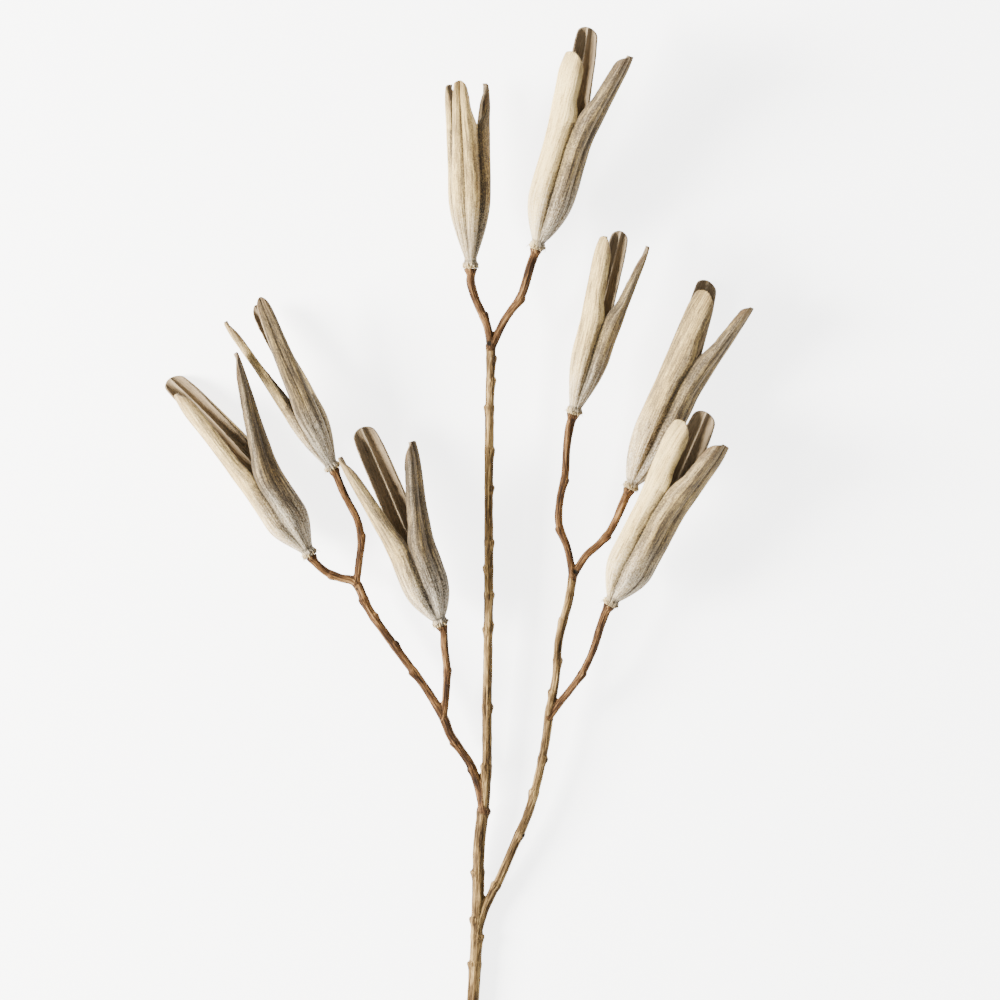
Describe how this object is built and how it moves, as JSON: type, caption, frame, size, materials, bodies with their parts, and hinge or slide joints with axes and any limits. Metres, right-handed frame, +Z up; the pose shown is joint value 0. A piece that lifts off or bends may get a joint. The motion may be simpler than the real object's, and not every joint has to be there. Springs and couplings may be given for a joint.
{
  "type": "lily seed pod spray",
  "caption": "Cut dried lily stem that forks into curved stalks, each carrying a seed pod split into three valves, lying on its back.",
  "frame": {"origin": "centre of the spray's bounding box, on the surface that it lies on", "axes": "+Y from the cut end of the stem towards the top pods, +Z up, +X towards the right-hand pods"},
  "size_m": [0.2368, 0.4011, 0.0451],
  "materials": {
    "dried_stem": "dry, fibrous, matt brown stem",
    "dried_pod": "dry, papery, velvety pale pod wall"
  },
  "bodies": {
    "root": {"stem": "dried_stem", "pod_left_outer": "dried_pod", "pod_left_upper": "dried_pod", "pod_left_inner": "dried_pod", "pod_top_left": "dried_pod", "pod_top_right": "dried_pod", "pod_right_upper": "dried_pod", "pod_right_middle": "dried_pod", "pod_right_lower": "dried_pod"}
  },
  "joints": []
}
